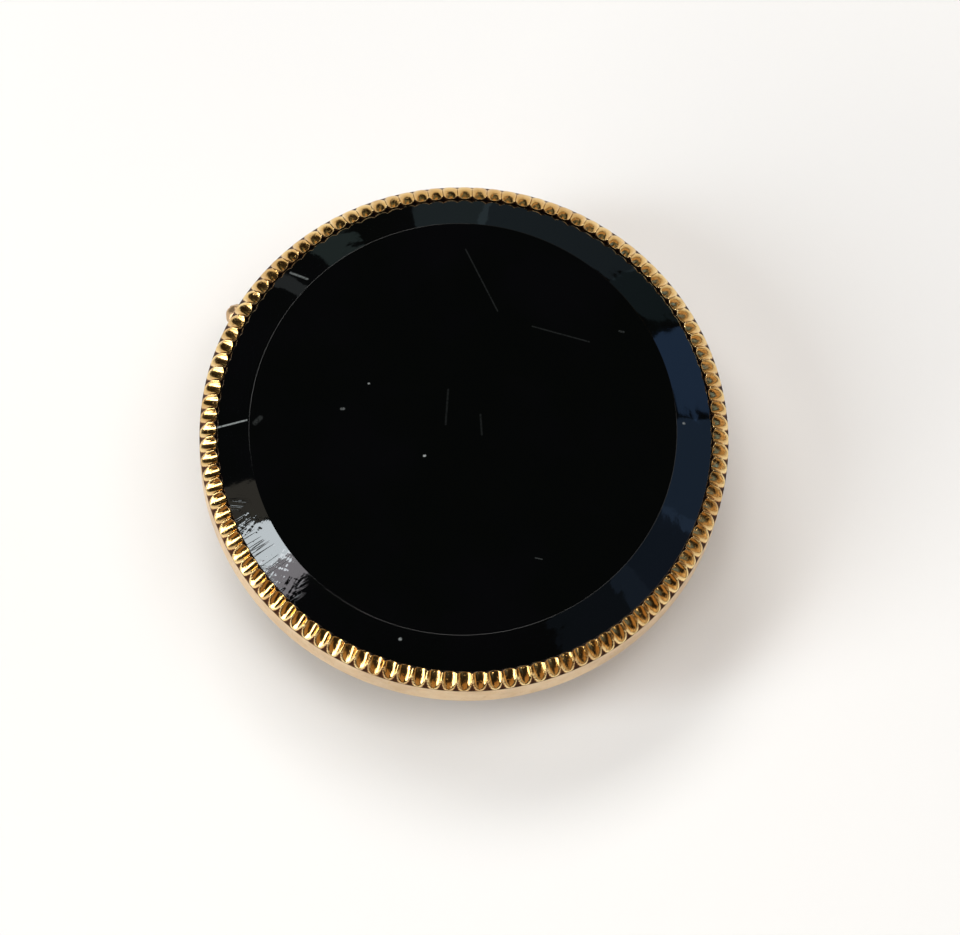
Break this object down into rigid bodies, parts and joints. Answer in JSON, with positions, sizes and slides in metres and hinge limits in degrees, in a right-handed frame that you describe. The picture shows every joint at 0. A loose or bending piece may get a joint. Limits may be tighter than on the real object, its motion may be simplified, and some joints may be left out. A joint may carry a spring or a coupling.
{
  "type": "sew on button",
  "caption": "Round shank button: a bevelled black onyx tablet held by a milgrain gold rim and band, with a wire loop on its back for sewing it to cloth.",
  "frame": {"origin": "on the button's axis, at the lowest point of the shank loop", "axes": "+Z out of the button's face, +X along the hole of the shank loop"},
  "size_m": [0.019, 0.019, 0.0065],
  "materials": {
    "onyx": "polished",
    "rim_gold": "polished",
    "band_gold": "satin",
    "solder": "satin",
    "bearing_brass": "matte",
    "cement": "satin",
    "card": "matte",
    "back_gold": "satin",
    "washer_brass": "matte",
    "collar_gold": "satin",
    "shank_wire": "satin",
    "soft_solder": "matte"
  },
  "bodies": {
    "root": {"onyx_tablet": "onyx", "milgrain_bezel": "rim_gold", "setting_band": "band_gold", "seam_bead": "solder", "bearing_ring": "bearing_brass", "stone_cement": "cement", "packing_disc": "card", "back_plate": "back_gold", "clinch_washer": "washer_brass", "shank_collar": "collar_gold", "shank_loop": "shank_wire", "shank_solder": "soft_solder"}
  },
  "joints": []
}
